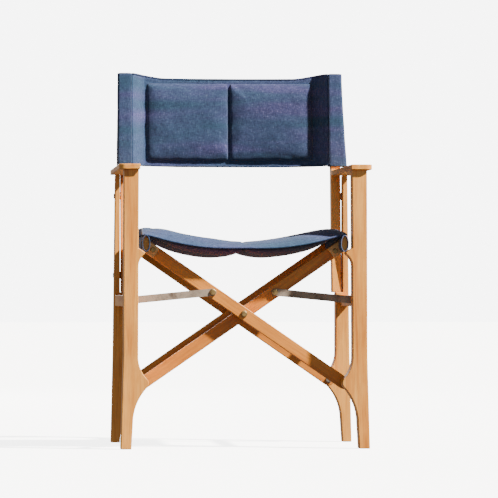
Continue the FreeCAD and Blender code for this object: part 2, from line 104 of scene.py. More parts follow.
def mixc(nt, mode, fac, a, b):
    m = nt.nodes.new("ShaderNodeMix")
    m.data_type = "RGBA"
    m.blend_type = mode
    m.clamp_factor = True
    for sock, v in ((m.inputs[0], fac), (m.inputs[6], a), (m.inputs[7], b)):
        if hasattr(v, "is_linked") or hasattr(v, "links"):
            nt.links.new(v, sock)
        elif isinstance(v, (int, float)):
            sock.default_value = v
        else:
            sock.default_value = (*v, 1)
    return m.outputs[2]


def math_n(nt, op, a, b=0.0):
    m = nt.nodes.new("ShaderNodeMath")
    m.operation = op
    for sock, v in ((m.inputs[0], a), (m.inputs[1], b)):
        if isinstance(v, (int, float)):
            sock.default_value = v
        else:
            nt.links.new(v, sock)
    return m.outputs[0]


def wood(name, axis, seed, light=(0.90, 0.415, 0.085), mid=(0.78, 0.31, 0.05), dark=(0.54, 0.175, 0.024), angle=0.0):
    """oiled hardwood; axis is the way the grain runs, angle turns it about Y"""
    m, nt, b = mat(name)
    stretch = {"x": (1.6, 26, 26), "y": (26, 1.6, 26), "z": (26, 26, 1.6)}[axis]
    v, vr, vo = coords(nt, rot=(0, angle, 0), scale=stretch, loc=(seed * 3.1, seed * 1.7, seed * 2.3))
    # slow figure that bends the rings
    warp = node(nt, "ShaderNodeTexNoise", Scale=0.9, Detail=3.0, Roughness=0.5)
    nt.links.new(v, warp.inputs["Vector"])
    wv = nt.nodes.new("ShaderNodeVectorMath"); wv.operation = "MULTIPLY_ADD"
    nt.links.new(warp.outputs["Color"], wv.inputs[0])
    wv.inputs[1].default_value = (1.5, 1.5, 1.5)
    nt.links.new(v, wv.inputs[2])
    rings = node(nt, "ShaderNodeTexNoise", Scale=1.6, Detail=6.0, Roughness=0.62)
    nt.links.new(wv.outputs[0], rings.inputs["Vector"])
    c = ramp(nt, [(0.28, dark), (0.42, mid), (0.56, light), (0.75, tuple(min(1, k * 1.07) for k in light))])
    nt.links.new(rings.outputs["Fac"], c.inputs[0])
    # fine pores along the grain
    fine = {"x": (18, 900, 900), "y": (900, 18, 900), "z": (900, 900, 18)}[axis]
    s2 = node(nt, "ShaderNodeMapping"); s2.inputs["Scale"].default_value = fine
    nt.links.new(vr, s2.inputs[0])
    pores = node(nt, "ShaderNodeTexNoise", Scale=1.0, Detail=2.0, Roughness=0.6)
    nt.links.new(s2.outputs[0], pores.inputs["Vector"])
    pr = ramp(nt, [(0.36, (0.62, 0.5, 0.4)), (0.52, (1, 1, 1))])
    nt.links.new(pores.outputs["Fac"], pr.inputs[0])
    col = mixc(nt, "MULTIPLY", 0.55, c.outputs[0], pr.outputs[0])
    # handling wear: darker, greyer patches
    worn = node(nt, "ShaderNodeTexNoise", Scale=7.0, Detail=4.0, Roughness=0.6)
    nt.links.new(vo, worn.inputs["Vector"])
    wr = ramp(nt, [(0.42, (1, 1, 1)), (0.72, (0.72, 0.62, 0.54))])
    nt.links.new(worn.outputs["Fac"], wr.inputs[0])
    col = mixc(nt, "MULTIPLY", 0.55, col, wr.outputs[0])
    geo = node(nt, "ShaderNodeNewGeometry")
    edge = ramp(nt, [(0.5, (1, 1, 1)), (0.56, (1.0, 0.93, 0.84))])
    nt.links.new(geo.outputs["Pointiness"], edge.inputs[0])
    col = mixc(nt, "MULTIPLY", 0.4, col, edge.outputs[0])
    nt.links.new(col, b.inputs["Base Color"])
    rough = math_n(nt, "MULTIPLY_ADD", rings.outputs["Fac"], 0.22)
    rough.node.inputs[2].default_value = 0.34
    nt.links.new(rough, b.inputs["Roughness"])
    b.inputs["Specular IOR Level"].default_value = 0.45
    bump = node(nt, "ShaderNodeBump", Strength=0.16, Distance=0.0006)
    nt.links.new(pores.outputs["Fac"], bump.inputs["Height"])
    nt.links.new(bump.outputs[0], b.inputs["Normal"])
    return m


def denim(name, plane="xz", tone=1.0, worn=0.0, painted_bounce_tint=None):
    """blue melange weave; plane gives the two thread directions"""
    m, nt, b = mat(name)
    tc = node(nt, "ShaderNodeTexCoord")
    o = tc.outputs["Object"]

    def streak(scale, lo, hi, detail=3.0):
        mp = node(nt, "ShaderNodeMapping"); mp.inputs["Scale"].default_value = scale
        nt.links.new(o, mp.inputs[0])
        n = node(nt, "ShaderNodeTexNoise", Scale=1.0, Detail=detail, Roughness=0.6)
        nt.links.new(mp.outputs[0], n.inputs["Vector"])
        r = node(nt, "ShaderNodeMapRange")
        r.inputs["From Min"].default_value, r.inputs["From Max"].default_value = lo, hi
        nt.links.new(n.outputs["Fac"], r.inputs["Value"])
        return r.outputs[0]
    if plane == "xz":
        warp, weft, along, up = (430, 430, 120), (120, 430, 430), (1, 0, 0), (0, 0, 1)
    elif plane == "xy":
        warp, weft, along, up = (430, 120, 430), (120, 430, 430), (1, 0, 0), (0, 1, 0)
    else:
        warp, weft, along, up = (430, 430, 120), (430, 120, 430), (0, 1, 0), (0, 0, 1)
    a = streak(warp, 0.22, 0.78)
    f = streak(weft, 0.22, 0.78)
    cloud = streak((3.5, 3.5, 24), 0.30, 0.70, 2.0)
    soft = streak((55, 55, 90), 0.3, 0.7, 4.0)
    k = math_n(nt, "ADD", math_n(nt, "MULTIPLY", a, 0.41), math_n(nt, "MULTIPLY", f, 0.39))
    k = math_n(nt, "ADD", k, math_n(nt, "MULTIPLY", cloud, 0.13))
    k = math_n(nt, "ADD", k, math_n(nt, "MULTIPLY", soft, 0.07))
    t = tone
    c = ramp(nt, [(0.18, (0.018 * t, 0.024 * t, 0.056 * t)), (0.42, (0.031 * t, 0.048 * t, 0.108 * t)),
                  (0.6, (0.047 * t, 0.072 * t, 0.142 * t)), (0.84, (0.12 * t, 0.16 * t, 0.25 * t))])
    nt.links.new(k, c.inputs[0])
    tint = ramp(nt, [(0.12, (0.62, 1.10, 0.98)), (0.5, (0.93, 0.98, 1.10)), (0.88, (1.30, 0.84, 1.22))])
    nt.links.new(cloud, tint.inputs[0])
    col = mixc(nt, "MULTIPLY", 0.8, c.outputs[0], tint.outputs[0])
    if worn:
        col = mixc(nt, "MIX", worn, col, (0.33, 0.40, 0.5))
    # optional colour multiply: painted light, used by the seat underside to paint warm orange bounce light into the
    # weave
    if painted_bounce_tint:
        col = mixc(nt, "MULTIPLY", 1.0, col, painted_bounce_tint)
    nt.links.new(col, b.inputs["Base Color"])
    b.inputs["Roughness"].default_value = 0.9
    b.inputs["Specular IOR Level"].default_value = 0.2
    b.inputs["Sheen Weight"].default_value = 0.18
    b.inputs["Sheen Roughness"].default_value = 0.45
    # plain weave: two crossed thread ridges about 1.6 mm apart

    def ridge(direction):
        d = nt.nodes.new("ShaderNodeVectorMath"); d.operation = "DOT_PRODUCT"
        nt.links.new(o, d.inputs[0]); d.inputs[1].default_value = direction
        s = math_n(nt, "SINE", math_n(nt, "MULTIPLY", d.outputs["Value"], 2 * math.pi / 0.0017))
        return s
    h = math_n(nt, "MULTIPLY", ridge(along), ridge(up))
    h = math_n(nt, "ADD", math_n(nt, "MULTIPLY", h, 0.5), math_n(nt, "MULTIPLY", k, 1.2))
    bump = node(nt, "ShaderNodeBump", Strength=0.5, Distance=0.0007)
    nt.links.new(h, bump.inputs["Height"])
    nt.links.new(bump.outputs[0], b.inputs["Normal"])
    return m


def metal(name, base, dark, rough=0.42, metallic=0.85, scale=60):
    m, nt, b = mat(name)
    v, vr, vo = coords(nt)
    n1 = node(nt, "ShaderNodeTexNoise", Scale=float(scale), Detail=6.0, Roughness=0.65)
    nt.links.new(vo, n1.inputs["Vector"])
    c = ramp(nt, [(0.33, dark), (0.5, base), (0.72, tuple(min(1, k * 1.25) for k in base))])
    nt.links.new(n1.outputs["Fac"], c.inputs[0])
    n2 = node(nt, "ShaderNodeTexNoise", Scale=float(scale) * 7, Detail=3.0, Roughness=0.7)
    nt.links.new(vo, n2.inputs["Vector"])
    sp = ramp(nt, [(0.3, (0.42, 0.36, 0.3)), (0.42, (1, 1, 1))])
    nt.links.new(n2.outputs["Fac"], sp.inputs[0])
    nt.links.new(mixc(nt, "MULTIPLY", 0.7, c.outputs[0], sp.outputs[0]), b.inputs["Base Color"])
    b.inputs["Metallic"].default_value = metallic
    r = math_n(nt, "MULTIPLY_ADD", n1.outputs["Fac"], 0.3)
    r.node.inputs[2].default_value = rough - 0.12
    nt.links.new(r, b.inputs["Roughness"])
    bump = node(nt, "ShaderNodeBump", Strength=0.25, Distance=0.0004)
    nt.links.new(n2.outputs["Fac"], bump.inputs["Height"])
    nt.links.new(bump.outputs[0], b.inputs["Normal"])
    return m


PHI = math.radians(34.6074)
M = {
    "bar": metal("weathered_bar", (0.34, 0.265, 0.205), (0.16, 0.115, 0.085), 0.62, 0.25, 45),
    "steel": metal("dull_steel", (0.27, 0.22, 0.17), (0.12, 0.085, 0.06), 0.48, 0.7, 90),
    "brass": metal("aged_brass", (0.40, 0.27, 0.11), (0.16, 0.09, 0.035), 0.40, 0.8, 110),
    "plug": wood("end_grain_plug", "y", 9.0, (0.42, 0.22, 0.09), (0.33, 0.16, 0.06), (0.2, 0.09, 0.03)),
}
for i, (name, obj) in enumerate(sorted(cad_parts.items())):
    if name.startswith(("seat_pad", "back_panel", "seat_sleeve", "back_sleeve")):
        continue
    if name.startswith("fold_link"):
        m = M["bar"]
    elif name.startswith(("rail_block_bolts", "centre_bolts", "centre_nuts", "link_rivet", "back_post_bolts")):
        m = M["brass"]
    elif name.startswith(("centre_washers", "pivot_", "lower_pivot", "link_post", "back_post_spacers")):
        m = M["steel"]
    elif name.startswith("armrest_plugs"):
        m = M["plug"]
    elif name.startswith(("front_leg", "rear_leg", "back_post")):
        m = wood("wood_" + name, "z", 1.0 + i * 0.37)
    elif name.startswith(("armrest", "side_stretcher", "seat_rail")):
        m = wood("wood_" + name, "y", 1.0 + i * 0.37)
    elif name.startswith(("cross_leg", "rail_block")):
        sgn = 1 if "left" in name else -1
        if name.startswith("rail_block"):
            m = wood("wood_" + name, "x", 1.0 + i * 0.37, (0.90, 0.52, 0.21), (0.80, 0.41, 0.13), (0.55, 0.24, 0.065), angle=-sgn * PHI)
        else:
            m = wood("wood_" + name, "x", 1.0 + i * 0.37, (0.76, 0.285, 0.038), (0.64, 0.205, 0.025), (0.44, 0.125, 0.014), angle=-sgn * PHI)
    else:
        m = M["steel"]
    for k in range(len(obj.data.materials)):
        obj.material_slots[k].material = m
    if not obj.data.materials:
        obj.data.materials.append(m)

CLOTH_XZ = denim("blue_weave_back", "xz", 0.82)
CLOTH_SHEET = denim("blue_weave_sheet", "xz", 1.08)
CLOTH_SLV = denim("blue_weave_sleeve", "xz", 0.93)
CLOTH_XY = denim("blue_weave_seat", "xy")
CLOTH_YZ = denim("blue_weave_side", "yz")
# painted bounce light: the underside weave is raised 3.4x in tone and tinted warm orange-brown to paint the warm
# bounce light and the lifted shade beneath the seat
UNDER_PAINTED_BOUNCE = denim("seat_underside_painted_bounce", "xy", 3.4, 0.0, (1.0, 0.43, 0.28))
RIM = denim("worn_hem", "xz", 1.2, 0.12)
THREAD, _nt, _b = mat("sewing_thread")
_n = node(_nt, "ShaderNodeTexNoise", Scale=900.0, Detail=2.0)
_r = ramp(_nt, [(0.3, (0.03, 0.045, 0.10)), (0.7, (0.09, 0.13, 0.23))])
_tc = node(_nt, "ShaderNodeTexCoord")
_nt.links.new(_tc.outputs["Object"], _n.inputs["Vector"])
_nt.links.new(_n.outputs["Fac"], _r.inputs[0])
_nt.links.new(_r.outputs[0], _b.inputs["Base Color"])
_b.inputs["Roughness"].default_value = 0.8


# ------------------------------------------------------------------- meshes
def mesh_obj(name, verts, faces, material, smooth=True):
    me = bpy.data.meshes.new(name)
    me.from_pydata([tuple(v) for v in verts], [], faces)
    me.validate()
    me.update()
    o = bpy.data.objects.new(name, me)
    bpy.context.scene.collection.objects.link(o)
    bm = bmesh.new(); bm.from_mesh(me)
    bmesh.ops.recalc_face_normals(bm, faces=bm.faces)
    bm.to_mesh(me); bm.free()
    if smooth:
        for p in me.polygons:
            p.use_smooth = True
    me.materials.append(material)
    return o


def slab(name, nu, nv, front, back, material):
    """closed sheet: two facing grids joined round their border"""
    V, F = [], []
    for fn in (front, back):
        for j in range(nv + 1):
            for i in range(nu + 1):
                V.append(fn(i / nu, j / nv))
    off = (nu + 1) * (nv + 1)

    def idx(i, j, k=0):
        return k * off + j * (nu + 1) + i
    for j in range(nv):
        for i in range(nu):
            F.append((idx(i, j), idx(i + 1, j), idx(i + 1, j + 1), idx(i, j + 1)))
            F.append((idx(i, j, 1), idx(i, j + 1, 1), idx(i + 1, j + 1, 1), idx(i + 1, j, 1)))
    ring = [(i, 0) for i in range(nu)] + [(nu, j) for j in range(nv)] + [(i, nv) for i in range(nu, 0, -1)] + [(0, j) for j in range(nv, 0, -1)]
    for a, b in zip(ring, ring[1:] + ring[:1]):
        F.append((idx(*a), idx(*a, 1), idx(*b, 1), idx(*b)))
    return mesh_obj(name, V, F, material)


def apply_mods(o):
    dg = bpy.context.evaluated_depsgraph_get()
    me = bpy.data.meshes.new_from_object(o.evaluated_get(dg), depsgraph=dg)
    old = o.data
    o.modifiers.clear()
    o.data = me
    bpy.data.meshes.remove(old)
    return o


def remesh(o, size):
    m = o.modifiers.new("remesh", "REMESH")
    m.mode = "VOXEL"
    m.voxel_size = size
    m.use_smooth_shade = True
    bpy.context.view_layer.update()
    return apply_mods(o)


def puff(o, cap, pressure=4.0, frames=20, voxel=0.005, hold=None):
    """inflate a pad as cloth; hold(point) says how firmly a point stays put"""
    mats = [m for m in o.data.materials]
    remesh(o, voxel)
    rest = [v.co.copy() for v in o.data.vertices]
    c = o.modifiers.new("cloth", "CLOTH")
    st = c.settings
    st.quality = 6
    st.mass = 0.25
    st.tension_stiffness = st.compression_stiffness = 25
    st.shear_stiffness = 12
    st.bending_stiffness = 1.2
    st.use_pressure = True
    st.uniform_pressure_force = pressure
    st.effector_weights.gravity = 0
    c.collision_settings.use_collision = False
    c.collision_settings.use_self_collision = False
    if hold:
        g = o.vertex_groups.new(name="pin")
        for v in o.data.vertices:
            w = hold(v.co)
            if w > 0:
                g.add([v.index], w, "REPLACE")
        st.vertex_group_mass = "pin"
    c.point_cache.frame_start, c.point_cache.frame_end = 1, frames
    sc = bpy.context.scene
    for f in range(1, frames + 1):
        sc.frame_set(f)
    apply_mods(o)
    sc.frame_set(1)
    for v, r in zip(o.data.vertices, rest):
        d = v.co - r
        if d.length > cap:
            v.co = r + d * (cap / d.length)
    o.vertex_groups.clear()
    s = o.modifiers.new("smooth", "SMOOTH"); s.factor = 0.5; s.iterations = 4
    s = o.modifiers.new("sub", "SUBSURF"); s.levels = s.render_levels = 1
    bpy.context.view_layer.update()
    apply_mods(o)
    o.data.materials.clear()
    for m in mats:
        o.data.materials.append(m)
    for p in o.data.polygons:
        p.use_smooth = True
    return o


def clampf(v, a, b):
    return max(a, min(b, v))


def nz(x, y, z, s=1.0):
    return noise.noise(Vector((x * s, y * s, z * s)))


# --------------------------------------------------------------- back cover
POSTY = 403.0
ZB, ZT = 662.0, 887.0


def lean_y(z):
    return POSTY + (z - 359.0) * LEAN


def panel_plan(x):
    """how far the fabric lies behind the post's front face, and its slope zone"""
    ax = abs(x)
    if ax >= 205:
        t = clampf((237.6 - ax) / 32.6, 0, 1)
        t = t * t * (3 - 2 * t) * 0.35 + t * 0.65
        return 0.5 + 37.0 * t
    return 37.5 + 9.0 * (1 - (ax / 205.0) ** 2)


def top_z(x):
    ax = abs(x)
    t = clampf((237.6 - ax) / 85.0, 0, 1)
    return ZT - 2.5 - 9.5 * (t * t * (3 - 2 * t)) - 1.5 * (1 - (ax / 237.6) ** 2)


def bot_z(x):
    t = clampf((237.6 - abs(x)) / 110.0, 0, 1)
    return ZB + 4.0 - 2.5 * t


def panel_pt(x, z, extra=0.0):
    wav = 1.2 * nz(x * 0.02, 3.0, z * 0.03) if abs(x) < 222 else 0.0
    return W(x, lean_y(z) + panel_plan(x) + extra + wav, z)


def sheet_front(u, v):
    x = -237.4 + 474.8 * u
    z = bot_z(x) + (top_z(x) - bot_z(x)) * v
    return panel_pt(x, z, 0.0)


def sheet_back(u, v):
    x = -237.4 + 474.8 * u
    z = bot_z(x) + (top_z(x) - bot_z(x)) * v
    return panel_pt(x, z, 3.2)


back_sheet = slab("back_cover_sheet", 150, 60, sheet_front, sheet_back, CLOTH_SHEET)

soft_back = [back_sheet]
for side, s in (("left", -1), ("right", 1)):
    x0, x1 = 0.9, (199.5 if s < 0 else 203.0)
    z0, z1 = 675.5, 864.5

    def edge(u):
        return clampf(min(u, 1 - u) / 0.09, 0, 1)

    def side_edge(u):
        # tight against the centre seam, rounder on the outside
        return clampf(min(u / 0.03, (1 - u) / 0.09), 0, 1)

    def pf(u, v, s=s):
        x = s * (x0 + (x1 - x0) * u)
        z = z0 + (z1 - z0) * v
        r = math.sqrt(max(0.0, 1 - (1 - side_edge(u)) ** 2)) * math.sqrt(max(0.0, 1 - (1 - edge(v)) ** 2))
        return panel_pt(x, z, -2.0 - 8.0 * r)

    def pb(u, v, s=s):
        x = s * (x0 + (x1 - x0) * u)
        z = z0 + (z1 - z0) * v
        return panel_pt(x, z, 2.4)
    pad = slab("back_pad_" + side, 60, 56, pf, pb, CLOTH_XZ)

    def hold(p, s=s):
        yb = lean_y(p.z * 1000) + panel_plan(p.x * 1000)
        d = (p.y * 1000 + Y0) - yb
        return 1.0 if d > -1.0 else 0.0
    puff(pad, 0.009, 4.0, 20, 0.0045, hold)
    # shallow dimples and pulls left by use
    for v in pad.data.vertices:
        x, z = v.co.x * 1000, v.co.z * 1000
        v.co.y += 0.0012 * nz(x * 0.022 + 5 * s, 0.3, z * 0.028) + 0.0006 * nz(x * 0.07, 1.7, z * 0.05)
    soft_back.append(pad)
    # second layer of the same padding behind the sheet

    def qf(u, v, s=s):
        x = s * (x0 + (x1 - x0) * u)
        z = z0 + (z1 - z0) * v
        return panel_pt(x, z, 1.0)

    def qb(u, v, s=s):
        x = s * (x0 + (x1 - x0) * u)
        z = z0 + (z1 - z0) * v
        r = math.sqrt(max(0.0, 1 - (1 - edge(u)) ** 2)) * math.sqrt(max(0.0, 1 - (1 - edge(v)) ** 2))
        return panel_pt(x, z, 4.0 + 6.0 * r)
    rearp = slab("back_pad_rear_" + side, 48, 44, qf, qb, CLOTH_XZ)
    for v in rearp.data.vertices:
        v.co.y += 0.0010 * nz(v.co.x * 25 + 3 * s, 2.3, v.co.z * 25)
    soft_back.append(rearp)


def tube_along(name, pts, radius, material, sides=8):
    """thin closed cord along points"""
    V, F = [], []
    n = len(pts)
    for k, p in enumerate(pts):
        t = (pts[min(k + 1, n - 1)] - pts[max(k - 1, 0)]).normalized()
        a = t.orthogonal().normalized()
        ref = Vector((0, 1, 0)) if abs(t.y) < 0.9 else Vector((0, 0, 1))
        a = t.cross(ref).normalized()
        b = t.cross(a)
        for q in range(sides):
            w = 2 * math.pi * q / sides
            V.append(p + a * math.cos(w) * radius + b * math.sin(w) * radius)
    for k in range(n - 1):
        for q in range(sides):
            r = (q + 1) % sides
            F.append((k * sides + q, k * sides + r, (k + 1) * sides + r, (k + 1) * sides + q))
    F.append(tuple(range(sides))[::-1])
    F.append(tuple((n - 1) * sides + q for q in range(sides)))
    return mesh_obj(name, V, F, material)


# bindings along the top and bottom edges, and stitch rows
def bind(name, zf, rad, material, xr=236.5, n=120, extra=1.6):
    pts = []
    for k in range(n + 1):
        x = -xr + 2 * xr * k / n
        z = zf(x)
        pts.append(panel_pt(x, z, extra))
    return tube_along(name, pts, rad, material)


soft_back.append(bind("back_binding_top", lambda x: top_z(x), 0.0026, CLOTH_XZ))
soft_back.append(bind("back_binding_bottom", lambda x: bot_z(x), 0.0026, CLOTH_XZ))


def stitches(name, path, pitch=3.6, length=2.3, radius=0.00042, material=None):
    """short raised threads laid along a path of points (metres)"""
    V, F = [], []
    total, seg = 0.0, [0.0]
    for a, b in zip(path, path[1:]):
        total += (b - a).length
        seg.append(total)

    def along(d):
        for i in range(len(path) - 1):
            if seg[i + 1] >= d:
                t = (d - seg[i]) / max(1e-9, seg[i + 1] - seg[i])
                return path[i].lerp(path[i + 1], t)
        return path[-1]
    d = pitch / 2000.0
    while d + length / 1000.0 < total:
        a, b = along(d), along(d + length / 1000.0)
        t = (b - a).normalized()
        ref = Vector((0, 1, 0)) if abs(t.y) < 0.9 else Vector((0, 0, 1))
        p = t.cross(ref).normalized(); q = t.cross(p)
        base = len(V)
        for k, (c, rr) in enumerate(((a, 0.35), (a.lerp(b, 0.25), 1.0), (a.lerp(b, 0.75), 1.0), (b, 0.35))):
            for w in range(5):
                an = 2 * math.pi * w / 5
                V.append(c + (p * math.cos(an) + q * math.sin(an)) * radius * rr)
        for k in range(3):
            for w in range(5):
                x = (w + 1) % 5
                F.append((base + k * 5 + w, base + k * 5 + x, base + (k + 1) * 5 + x, base + (k + 1) * 5 + w))
        F.append(tuple(base + w for w in range(5))[::-1])
        F.append(tuple(base + 15 + w for w in range(5)))
        d += pitch / 1000.0
    return mesh_obj(name, V, F, material or THREAD)


rows = []
for zf, nm in ((lambda x: top_z(x) - 7.0, "back_stitches_top"), (lambda x: bot_z(x) + 8.0, "back_stitches_bottom")):
    pts = [panel_pt(-229 + 458 * k / 160, zf(-229 + 458 * k / 160), -0.2) for k in range(161)]
    soft_back.append(stitches(nm, pts))
for s, nm in ((-1, "back_stitches_left"), (1, "back_stitches_right")):
    pts = [panel_pt(s * 209.0, 672 + 198 * k / 60, -0.2) for k in range(61)]
    soft_back.append(stitches(nm, pts))

for p in soft_back:
    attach(p, "left_frame")
    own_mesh(p)
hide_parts("back_panel")

# sleeves: rounded rectangular loops of cloth round the posts
for side, s in (("left", -1), ("right", 1)):
    cx = s * 254.0
    hx, hy = 16.7, 18.3
    loose = 3.0 if s < 0 else 11.0          # the lower end hangs open to the outside
    rad = 5.5
    loop = []
    for (qx, qy, a0) in ((1, 1, 0), (-1, 1, 90), (-1, -1, 180), (1, -1, 270)):
        for k in range(7):
            an = math.radians(a0 + 15 * k)
            loop.append((qx * (hx - rad) + rad * math.cos(an), qy * (hy - rad) + rad * math.sin(an)))
    dense = []
    for (ax, ay), (bx, by) in zip(loop, loop[1:] + loop[:1]):
        n = max(1, int(math.hypot(bx - ax, by - ay) / 4))
        for k in range(n):
            dense.append((ax + (bx - ax) * k / n, ay + (by - ay) * k / n))
    nv = 70
    V, F = [], []
    nl = len(dense)
    for j in range(nv + 1):
        z = ZB + (ZT - 1.0 - ZB) * j / nv
        cy = lean_y(z) + 16.0
        for (lx, ly) in dense:
            w = 0.7 * nz(lx * 0.06 + 7 * s, ly * 0.06, z * 0.022) + 0.35 * nz(lx * 0.15, ly * 0.15, z * 0.06 + s)
            f = 1.0 + w / 18.0
            if s * lx < -12 and ly < -14:
                f = 1.0
            out_ = s * loose * clampf((s * lx + hx) / (2 * hx), 0, 1) * (1 - j / nv) ** 1.3
            V.append(W(cx + lx * f + out_, cy + ly * f, z + (0.8 * nz(lx * .1, ly * .1, s * 4.0) if j in (0,) else 0)))
    for j in range(nv):
        for i in range(nl):
            k = (i + 1) % nl
            F.append((j * nl + i, j * nl + k, (j + 1) * nl + k, (j + 1) * nl + i))
    o = mesh_obj("back_sleeve_cloth_" + side, V, F, CLOTH_SLV)
    # cloth thickness, inwards
    m = o.modifiers.new("thick", "SOLIDIFY"); m.thickness = 0.0016; m.offset = -1.0
    m.use_even_offset = True
    bpy.context.view_layer.update()
    apply_mods(o)
    if o.data.materials:
        pass
    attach(o, side + "_frame")
    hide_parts("back_sleeve_" + side)
    # closed end of the sleeve over the post's top
    V, F = [], []
    rings = 7
    for j in range(rings):
        f = 1 - j / rings
        z = ZT - 1.0 + 1.8 * math.sqrt(max(0, 1 - f * f)) + 0.0
        cy = lean_y(z) + 16.0
        for (lx, ly) in dense:
            V.append(W(cx + lx * f, cy + ly * f, z))
    V.append(W(cx, lean_y(ZT) + 16.0, ZT + 0.9))
    for j in range(rings - 1):
        for i in range(nl):
            k = (i + 1) % nl
            F.append((j * nl + i, j * nl + k, (j + 1) * nl + k, (j + 1) * nl + i))
    for i in range(nl):
        F.append(((rings - 1) * nl + i, (rings - 1) * nl + (i + 1) % nl, rings * nl))
    cap = mesh_obj("back_sleeve_end_" + side, V, F, CLOTH_XY)
    m = cap.modifiers.new("thick", "SOLIDIFY"); m.thickness = 0.0014; m.offset = -1.0
    bpy.context.view_layer.update()
    apply_mods(cap)
    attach(cap, side + "_frame")
    # stitch row down the sleeve's inner edge
    pts = []
    for k in range(61):
        z = ZB + 4 + (ZT - ZB - 8) * k / 60
        pts.append(W(cx - s * 14.5, lean_y(z) + 16.0 - hy - 0.25, z))
    st = stitches("sleeve_stitches_" + side, pts)
    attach(st, side + "_frame")

# ---------------------------------------------------------------- seat cloth
SY0, SY1 = 20.0, 400.0


def lerp_tab(tab, x):
    for (xa, za), (xb, zb_) in zip(tab, tab[1:]):
        if x <= xb:
            t = (x - xa) / (xb - xa)
            return za + (zb_ - za) * t
    return tab[-1][1]


def smooth_tab(tab, x):
    """smoothed reading of a table of heights"""
    s = 0.0
    for k in range(-3, 4):
        s += lerp_tab(tab, clampf(x + k * 6.0, tab[0][0], tab[-1][0]))
    return s / 7.0


TOP = [(0, 475.5), (30, 477), (60, 481), (93, 486.5), (120, 491), (142, 495.5), (168, 501), (190, 506.5), (208, 507.5), (222, 502), (237, 494)]
EDGE = [(0, 463), (30, 462.5), (60, 462), (90, 464), (120, 468), (150, 472), (190, 480), (215, 489), (237, 491)]
MIDH = [(0, 459.5), (50, 459.0), (90, 461), (120, 465), (150, 470), (190, 479.5), (213, 490.2), (237, 490.0)]
LOW = [(0, 446.5), (14, 443.0), (45, 439.5), (75, 440.5), (100, 443.5), (120, 447), (142, 452.5), (168, 461.5), (192, 468.5), (205, 476)]


def seat_top(x, y):
    ax = abs(x)
    e = min(y - SY0, SY1 - y)
    t = clampf(e / 62.0, 0, 1)
    t = 1 - (1 - t) ** 2.2
    hi, lo = smooth_tab(TOP, ax), smooth_tab(EDGE, ax)
    if x < -208:
        hi += 9.0 * clampf((-208 - x) / 24.0, 0, 1)      # the left end stays full
    if ax > 212:
        # near the rails the folds run in from the sleeve
        hi += 1.4 * math.sin((y - 20) / 9.5 + ax * 0.12) * clampf((ax - 206) / 10.0, 0, 1) * clampf((236 - ax) / 6.0, 0, 1)
    seam = -2.6 * math.exp(-(ax / 4.5) ** 2) * clampf((e - 14.0) / 10.0, 0, 1)
    return lo + (hi - lo) * t + seam + (1.0 * nz(x * 0.015, y * 0.012, 0.4) + 0.5 * nz(x * 0.05, y * 0.05, 2.0)) * t


def seat_mid(x, y):
    e = min(y - SY0, SY1 - y)
    t = clampf(e / 10.0, 0, 1)
    return min(smooth_tab(MIDH, abs(x)) + 0.4 * nz(x * 0.03, y * 0.03, 6.0) * t, smooth_tab(EDGE, abs(x)) - 1.0)


def sx(u):
    return -237.0 + 474.0 * u


def sy(v):
    # closer rows near the front and rear edges
    t = 0.5 - 0.5 * math.cos(math.pi * v)
    return SY0 + (SY1 - SY0) * (0.55 * t + 0.45 * v)


seat_parts = []
seat_cover = slab("seat_cover", 150, 90,
                  lambda u, v: W(sx(u), sy(v), seat_top(sx(u), sy(v))),
                  lambda u, v: W(sx(u), sy(v), seat_mid(sx(u), sy(v))), CLOTH_XY)
m = seat_cover.modifiers.new("soft", "SMOOTH"); m.factor = 0.4; m.iterations = 2
bpy.context.view_layer.update()
apply_mods(seat_cover)
seat_parts.append(seat_cover)

# the two padded halves hang under the cover, a little behind its front edge
for side, s in (("left", -1), ("right", 1)):
    xa, xb = 3.0, 199.0
    ya, yb = SY0 + 5.0, SY1 - 5.0

    def ed(u, w=0.07):
        k = clampf(min(u, 1 - u) / w, 0, 1)
        return math.sqrt(max(0.0, 1 - (1 - k) ** 2))

    def top(u, v, s=s):
        x = xa + (xb - xa) * u
        y = ya + (yb - ya) * v
        return W(s * x, y, smooth_tab(MIDH, x) + 1.5)

    def low(u, v, s=s):
        x = xa + (xb - xa) * u
        y = ya + (yb - ya) * v
        m_ = smooth_tab(MIDH, x)
        l_ = smooth_tab(LOW, min(x, 204))
        k = ed(u, 0.10) * ed(v, 0.05)
        return W(s * x, y, m_ + 0.5 - max(2.5, (m_ - l_) - 3.0) * (0.35 + 0.65 * k))
    # the pads' lower surfaces carry the underside material with its painted warm bounce light
    pad = slab("seat_pad_" + side, 56, 96, top, low, UNDER_PAINTED_BOUNCE)

    def hold(p, s=s):
        return 1.0 if p.z * 1000 > smooth_tab(MIDH, abs(p.x * 1000)) - 0.5 else 0.0
    puff(pad, 0.006, 4.0, 20, 0.0055, hold)
    seat_parts.append(pad)

# front and rear hems with stitch rows
for nm, y, dirn in (("front", SY0 + 0.6, -1), ("rear", SY1 - 0.6, 1)):
    pts = []
    for k in range(121):
        x = -232 + 464 * k / 120
        pts.append(W(x, y + dirn * 1.0, seat_mid(x, y) + 1.0))
    seat_parts.append(tube_along("seat_binding_" + nm, pts, 0.0024, CLOTH_XY))
for nm, y in (("front", SY0 + 16.0), ("rear", SY1 - 16.0)):
    pts = [W(-225 + 450 * k / 150, y, seat_top(-225 + 450 * k / 150, y) + 0.2) for k in range(151)]
    seat_parts.append(stitches("seat_stitches_" + nm, pts))
for nm, x in (("left", -212.0), ("right", 212.0)):
    pts = [W(x, SY0 + 12 + 356 * k / 100, seat_top(x, SY0 + 12 + 356 * k / 100) + 0.2) for k in range(101)]
    seat_parts.append(stitches("seat_stitches_" + nm, pts))
for p in seat_parts:
    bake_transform(p)
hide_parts("seat_pad")

